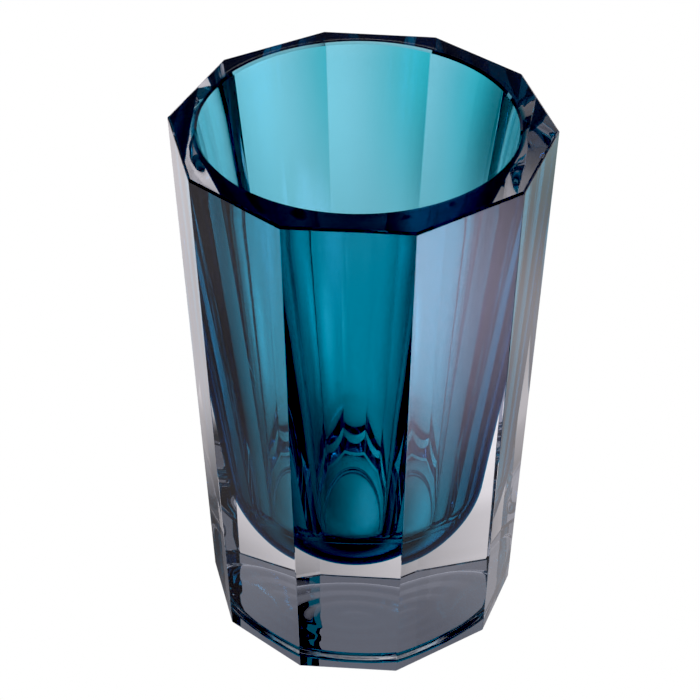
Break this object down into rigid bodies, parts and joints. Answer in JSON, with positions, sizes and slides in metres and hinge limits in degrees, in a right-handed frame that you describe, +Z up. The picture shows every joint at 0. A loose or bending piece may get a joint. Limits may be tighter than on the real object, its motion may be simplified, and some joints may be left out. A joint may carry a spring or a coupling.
{
  "type": "cut crystal vase",
  "caption": "Heavy cut crystal vase with tapering flat-ground sides, a thick clear base and a deep round hollow lined with teal glass.",
  "frame": {"origin": "middle of the base, on the plane that the vase stands on", "axes": "+Z up along the vase, out of its mouth; -Y towards the side that is seen first"},
  "size_m": [0.1658, 0.162, 0.25],
  "materials": {
    "clear_crystal": "polished, clear, ground flat",
    "teal_glass": "polished, transparent teal"
  },
  "bodies": {
    "root": {"crystal_casing": "clear_crystal", "teal_lining": "teal_glass"}
  },
  "joints": []
}
